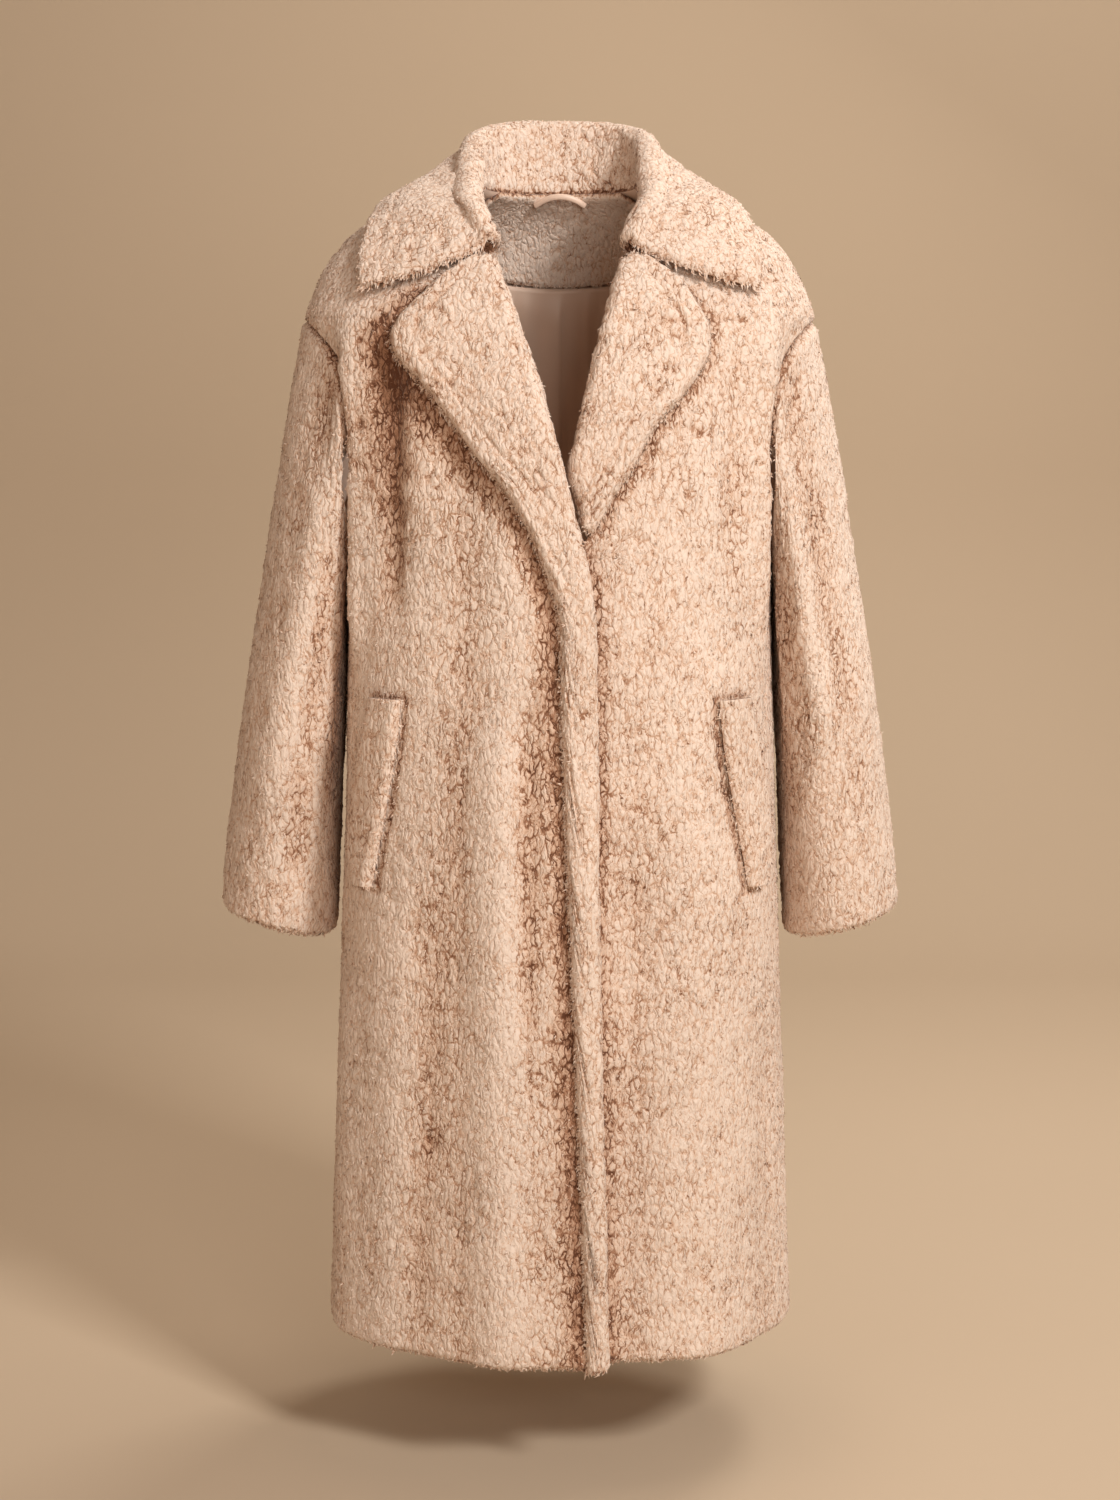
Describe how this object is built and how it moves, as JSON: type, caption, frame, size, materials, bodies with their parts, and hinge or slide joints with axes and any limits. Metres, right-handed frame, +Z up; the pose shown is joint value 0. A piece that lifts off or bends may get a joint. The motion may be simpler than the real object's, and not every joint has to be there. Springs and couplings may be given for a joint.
{
  "type": "faux fur coat",
  "caption": "Knee-length faux fur coat with notched collar, wide lapels, drop-shoulder sleeves and slanted welt pockets, filled out as if worn.",
  "frame": {"origin": "midway between the two points where the shoulder seams meet the collar, where the wearer's shoulders carry the coat", "axes": "+Z up, -Y out of the front, +X towards the wearer's left"},
  "size_m": [0.652, 0.3635, 1.1456],
  "materials": {
    "fur": "dense curly pile",
    "satin": "satin"
  },
  "bodies": {
    "root": {"back": "fur", "front_right": "fur", "front_left": "fur", "sleeve_right": "fur", "sleeve_left": "fur", "collar": "fur", "lapel_right": "fur", "lapel_left": "fur", "pocket_welt_right": "fur", "pocket_welt_left": "fur", "neck_facing": "fur", "lining_back": "satin", "hanger_loop": "satin"}
  },
  "joints": []
}
